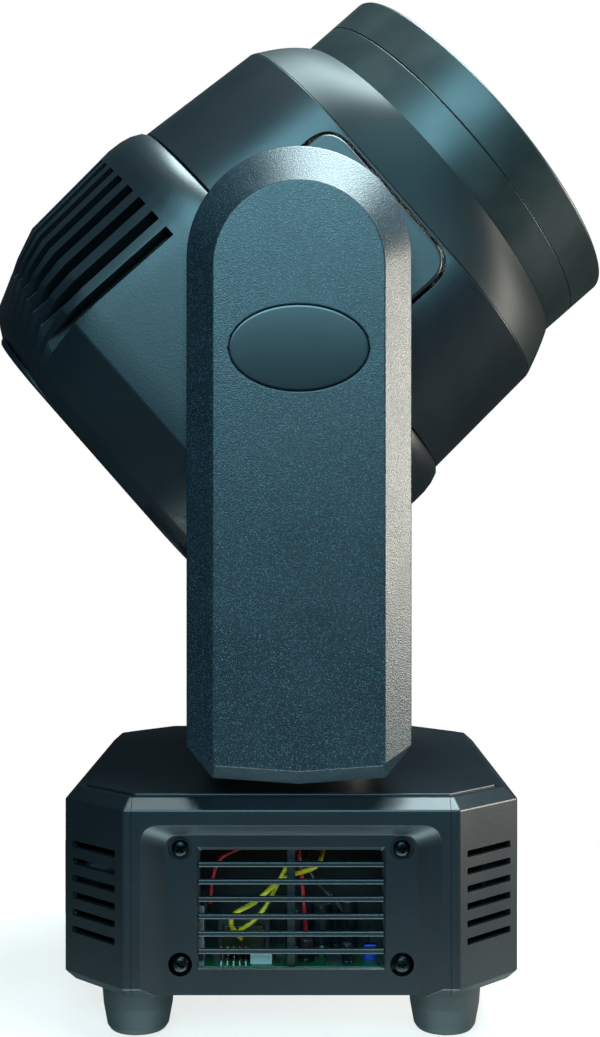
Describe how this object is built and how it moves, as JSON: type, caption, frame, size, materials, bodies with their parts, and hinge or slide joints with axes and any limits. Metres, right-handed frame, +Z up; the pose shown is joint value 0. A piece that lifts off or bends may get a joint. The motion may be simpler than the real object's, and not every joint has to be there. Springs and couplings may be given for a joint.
{
  "type": "moving head light",
  "caption": "Moving head stage light: octagonal base on rubber feet, two-armed yoke that pans, round lamp head that tilts between the arms.",
  "frame": {"origin": "on the ground, below the pan axis, 3.2 mm in front of the centre between the four feet", "axes": "+Z up along the pan axis; +X to the front, the side with the display, which the head faces at rest; the tilt axis runs along Y"},
  "size_m": [0.2781, 0.236, 0.4515],
  "materials": {
    "shell_plastic": "fine moulded texture, satin",
    "arm_plastic": "spark-eroded moulded texture",
    "hood_plastic": "fine moulded texture, matte",
    "badge_plastic": "smooth satin",
    "zinc_steel": "zinc plated sheet",
    "bearing_steel": "ground",
    "black_screw": "black oxide",
    "aluminium": "extruded, bare",
    "motor_black": "laminated stack, painted",
    "pinion_brass": "turned",
    "foot_rubber": "moulded",
    "belt_rubber": "moulded, toothed",
    "circuit_board": "solder mask",
    "components": "mixed moulded parts",
    "wire_insulation": "smooth insulation",
    "socket_plastic": "moulded",
    "display_glass": "polished",
    "display_body": "moulded",
    "button_plastic": "smooth",
    "lens_acrylic": "polished",
    "led_white": "white solder mask",
    "fan_plastic": "moulded"
  },
  "bodies": {
    "base": {"base_floor": "zinc_steel", "base_shell_front": "shell_plastic", "base_shell_rear": "shell_plastic", "vent_panel_right": "shell_plastic", "vent_panel_left": "shell_plastic", "vent_panel_screws": "black_screw", "base_top_plate": "shell_plastic", "chassis_bridge": "zinc_steel", "pan_tube": "bearing_steel", "pan_pulley": "aluminium", "pan_bearing_inner": "bearing_steel", "base_feet": "foot_rubber", "power_supply_board": "circuit_board", "power_supply_parts": "components", "control_board": "circuit_board", "wire_loom": "wire_insulation", "display_window": "display_glass", "display_module": "display_body", "power_inlet": "socket_plastic", "fuse_cap": "socket_plastic", "signal_input_socket": "socket_plastic", "signal_output_socket": "socket_plastic"},
    "yoke": {"yoke_frame": "zinc_steel", "bridge_cover": "shell_plastic", "arm_outer_cover_right": "arm_plastic", "arm_outer_cover_left": "arm_plastic", "arm_inner_cover_right": "arm_plastic", "arm_inner_cover_left": "arm_plastic", "arm_badges": "badge_plastic", "arm_cover_screws": "black_screw", "pan_bearing_outer": "bearing_steel", "pan_motor": "motor_black", "pan_belt": "belt_rubber", "tilt_motor": "motor_black", "tilt_belt": "belt_rubber", "tilt_bearings": "bearing_steel"},
    "head": {"head_shell_upper": "shell_plastic", "head_shell_lower": "shell_plastic", "side_pads": "shell_plastic", "front_collar": "shell_plastic", "hood_ring_rear": "hood_plastic", "hood_ring_front": "hood_plastic", "lens_plate": "hood_plastic", "lens_array": "lens_acrylic", "led_board": "led_white", "heatsink": "aluminium", "head_frame": "zinc_steel", "tilt_shafts": "bearing_steel", "tilt_pulley": "aluminium", "fan_frame": "fan_plastic", "rear_cap": "shell_plastic", "rear_plate": "shell_plastic", "rear_screws": "black_screw"},
    "fan": {"fan_rotor": "fan_plastic"},
    "pan_drive": {"pan_pinion": "pinion_brass"},
    "tilt_drive": {"tilt_pinion": "pinion_brass"},
    "key_menu": {"button_menu": "button_plastic"},
    "key_up": {"button_up": "button_plastic"},
    "key_down": {"button_down": "button_plastic"},
    "key_enter": {"button_enter": "button_plastic"}
  },
  "joints": [
    {"name": "pan", "type": "hinge", "parent": "base", "child": "yoke", "pos_m": [0, 0, 0.1105], "axis": [0, 0, 1], "range_deg": [-270, 270]},
    {"name": "tilt", "type": "hinge", "parent": "yoke", "child": "head", "pos_m": [0, 0, 0.31401], "axis": [0, 1, 0], "range_deg": [-183.7, 86.3]},
    {"name": "pan_drive_spin", "type": "hinge", "parent": "yoke", "child": "pan_drive", "pos_m": [0, -0.05654, 0.123], "axis": [0, 0, 1], "range_deg": [-1300, 1300]},
    {"name": "tilt_drive_spin", "type": "hinge", "parent": "yoke", "child": "tilt_drive", "pos_m": [0, 0.1045, 0.14315], "axis": [0, 1, 0], "range_deg": [-740, 350]},
    {"name": "fan_spin", "type": "hinge", "parent": "head", "child": "fan", "pos_m": [-0.03381, 0, 0.28431], "axis": [0.7513, 0, 0.66], "continuous": true},
    {"name": "menu_press", "type": "slide", "parent": "base", "child": "key_menu", "axis": [-1, 0, 0], "range_m": [0, 0.001], "stiffness_N_per_m": 600, "springref_m": -0.0005},
    {"name": "up_press", "type": "slide", "parent": "base", "child": "key_up", "axis": [-1, 0, 0], "range_m": [0, 0.001], "stiffness_N_per_m": 600, "springref_m": -0.0005},
    {"name": "down_press", "type": "slide", "parent": "base", "child": "key_down", "axis": [-1, 0, 0], "range_m": [0, 0.001], "stiffness_N_per_m": 600, "springref_m": -0.0005},
    {"name": "enter_press", "type": "slide", "parent": "base", "child": "key_enter", "axis": [-1, 0, 0], "range_m": [0, 0.001], "stiffness_N_per_m": 600, "springref_m": -0.0005}
  ],
  "couplings": [
    {"joint": "pan_drive_spin", "follows": "pan", "ratio": -4.8},
    {"joint": "tilt_drive_spin", "follows": "tilt", "ratio": 4}
  ]
}
